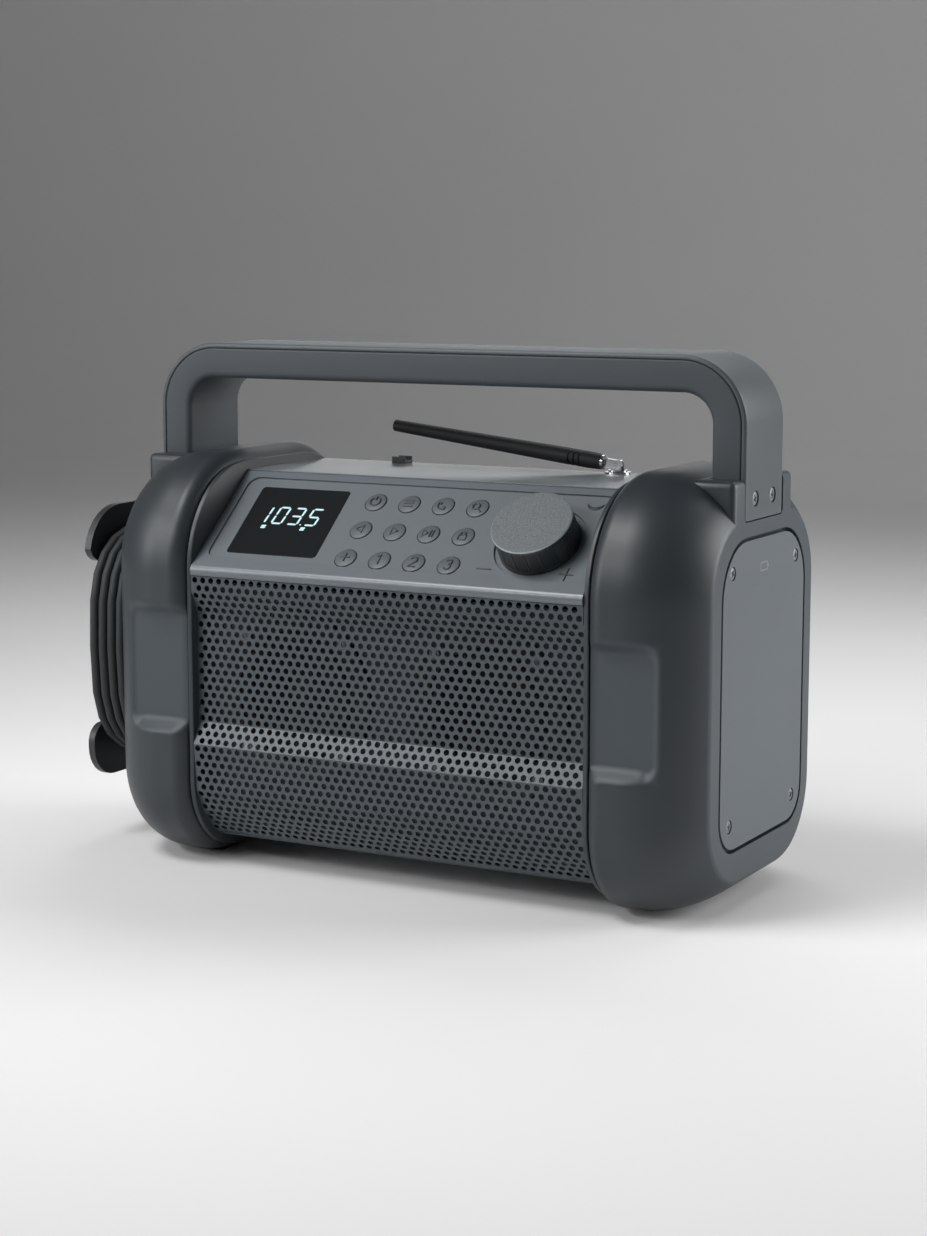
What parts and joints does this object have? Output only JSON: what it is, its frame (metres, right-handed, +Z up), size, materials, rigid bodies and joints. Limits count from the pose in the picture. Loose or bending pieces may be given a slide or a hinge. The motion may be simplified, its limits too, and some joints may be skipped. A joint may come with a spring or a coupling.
{
  "type": "bluetooth radio speaker",
  "caption": "Rugged table-top radio speaker with a carrying handle, perforated front grille, sloped key panel with display and knob, folding antenna and a mains lead wound on end hooks.",
  "frame": {"origin": "middle of the outline, hooks included and lead left out, on the floor under the feet", "axes": "+X along the length from the cord hooks to the battery cover, +Y from the panel to the rear, +Z up"},
  "size_m": [0.362, 0.169, 0.2635],
  "materials": {
    "cap_plastic": "satin moulded",
    "cabinet_plastic": "satin moulded",
    "deck_plastic": "satin moulded",
    "panel_plastic": "fine textured",
    "cover_plastic": "fine textured",
    "handle_plastic": "fine textured",
    "band_plastic": "satin moulded",
    "key_plastic": "satin moulded",
    "knob_cap": "satin",
    "black_plastic": "satin moulded",
    "hook_plastic": "satin moulded",
    "plug_plastic": "satin moulded",
    "lead_sheath": "smooth sheath",
    "display_gloss": "polished",
    "grille_steel": "powder coated",
    "screw_steel": "blackened",
    "encoder_metal": "turned",
    "chrome": "polished",
    "contact_metal": "nickel plated",
    "cell_case": "wrapped",
    "basket_metal": "black paint",
    "magnet": "sintered",
    "cone": "paper cone",
    "rubber": "matt",
    "board": "solder mask",
    "supply": "phenolic board"
  },
  "bodies": {
    "housing": {"left_end_cap": "cap_plastic", "right_end_cap": "cap_plastic", "rear_cabinet": "cabinet_plastic", "top_deck": "deck_plastic", "front_baffle": "black_plastic", "speaker_grille": "grille_steel", "control_panel": "panel_plastic", "display_lens": "display_gloss", "display_module": "board", "control_board": "board", "encoder": "encoder_metal", "handle_frame": "handle_plastic", "handle_band": "band_plastic", "handle_screws": "screw_steel", "battery_cover": "cover_plastic", "battery_seal": "rubber", "battery_cover_screws": "screw_steel", "battery_holder": "black_plastic", "battery_cells": "cell_case", "battery_contacts": "contact_metal", "left_speaker_basket": "basket_metal", "left_speaker_cone": "cone", "left_speaker_magnet": "magnet", "right_speaker_basket": "basket_metal", "right_speaker_cone": "cone", "right_speaker_magnet": "magnet", "speaker_screws": "screw_steel", "antenna_base": "chrome", "antenna_clip": "black_plastic", "upper_cord_hook": "hook_plastic", "lower_cord_hook": "hook_plastic", "hook_screws": "screw_steel", "cord_gland": "rubber", "mains_lead": "lead_sheath", "plug_body": "plug_plastic", "plug_pins": "contact_metal", "main_board": "board", "power_supply": "supply", "feet": "rubber", "cabinet_screws": "screw_steel"},
    "knob": {"volume_knob": "black_plastic", "knob_cap": "knob_cap", "encoder_shaft": "encoder_metal"},
    "antenna_turn": {"antenna_swivel": "chrome", "antenna_pin": "chrome"},
    "antenna_rod": {"antenna_ferrule": "chrome", "antenna_whip": "rubber"},
    "power_key": {"key_power": "key_plastic"},
    "mode_key": {"key_mode": "key_plastic"},
    "phone_key": {"key_phone": "key_plastic"},
    "scan_key": {"key_scan": "key_plastic"},
    "back_key": {"key_back": "key_plastic"},
    "forward_key": {"key_forward": "key_plastic"},
    "play_key": {"key_play": "key_plastic"},
    "lock_key": {"key_lock": "key_plastic"},
    "preset_key": {"key_preset": "key_plastic"},
    "one_key": {"key_one": "key_plastic"},
    "two_key": {"key_two": "key_plastic"},
    "three_key": {"key_three": "key_plastic"}
  },
  "joints": [
    {"name": "power_press", "type": "slide", "parent": "housing", "child": "power_key", "axis": [0, 0.6414, -0.7672], "range_m": [0, 0.001], "stiffness_N_per_m": 600},
    {"name": "mode_press", "type": "slide", "parent": "housing", "child": "mode_key", "axis": [0, 0.6414, -0.7672], "range_m": [0, 0.001], "stiffness_N_per_m": 600},
    {"name": "phone_press", "type": "slide", "parent": "housing", "child": "phone_key", "axis": [0, 0.6414, -0.7672], "range_m": [0, 0.001], "stiffness_N_per_m": 600},
    {"name": "scan_press", "type": "slide", "parent": "housing", "child": "scan_key", "axis": [0, 0.6414, -0.7672], "range_m": [0, 0.001], "stiffness_N_per_m": 600},
    {"name": "back_press", "type": "slide", "parent": "housing", "child": "back_key", "axis": [0, 0.6414, -0.7672], "range_m": [0, 0.001], "stiffness_N_per_m": 600},
    {"name": "forward_press", "type": "slide", "parent": "housing", "child": "forward_key", "axis": [0, 0.6414, -0.7672], "range_m": [0, 0.001], "stiffness_N_per_m": 600},
    {"name": "play_press", "type": "slide", "parent": "housing", "child": "play_key", "axis": [0, 0.6414, -0.7672], "range_m": [0, 0.001], "stiffness_N_per_m": 600},
    {"name": "lock_press", "type": "slide", "parent": "housing", "child": "lock_key", "axis": [0, 0.6414, -0.7672], "range_m": [0, 0.001], "stiffness_N_per_m": 600},
    {"name": "preset_press", "type": "slide", "parent": "housing", "child": "preset_key", "axis": [0, 0.6414, -0.7672], "range_m": [0, 0.001], "stiffness_N_per_m": 600},
    {"name": "one_press", "type": "slide", "parent": "housing", "child": "one_key", "axis": [0, 0.6414, -0.7672], "range_m": [0, 0.001], "stiffness_N_per_m": 600},
    {"name": "two_press", "type": "slide", "parent": "housing", "child": "two_key", "axis": [0, 0.6414, -0.7672], "range_m": [0, 0.001], "stiffness_N_per_m": 600},
    {"name": "three_press", "type": "slide", "parent": "housing", "child": "three_key", "axis": [0, 0.6414, -0.7672], "range_m": [0, 0.001], "stiffness_N_per_m": 600},
    {"name": "volume_turn", "type": "hinge", "parent": "housing", "child": "knob", "pos_m": [0.09, -0.05532, 0.17558], "axis": [0, -0.6414, 0.7672], "continuous": true},
    {"name": "antenna_swing", "type": "hinge", "parent": "housing", "child": "antenna_turn", "pos_m": [0.085, 0.042, 0.1995], "axis": [0, 0, -1], "range_deg": [0, 120]},
    {"name": "antenna_raise", "type": "hinge", "parent": "antenna_turn", "child": "antenna_rod", "pos_m": [0.085, 0.042, 0.2039], "axis": [0, 1, 0], "range_deg": [-6.6, 83.4]}
  ]
}
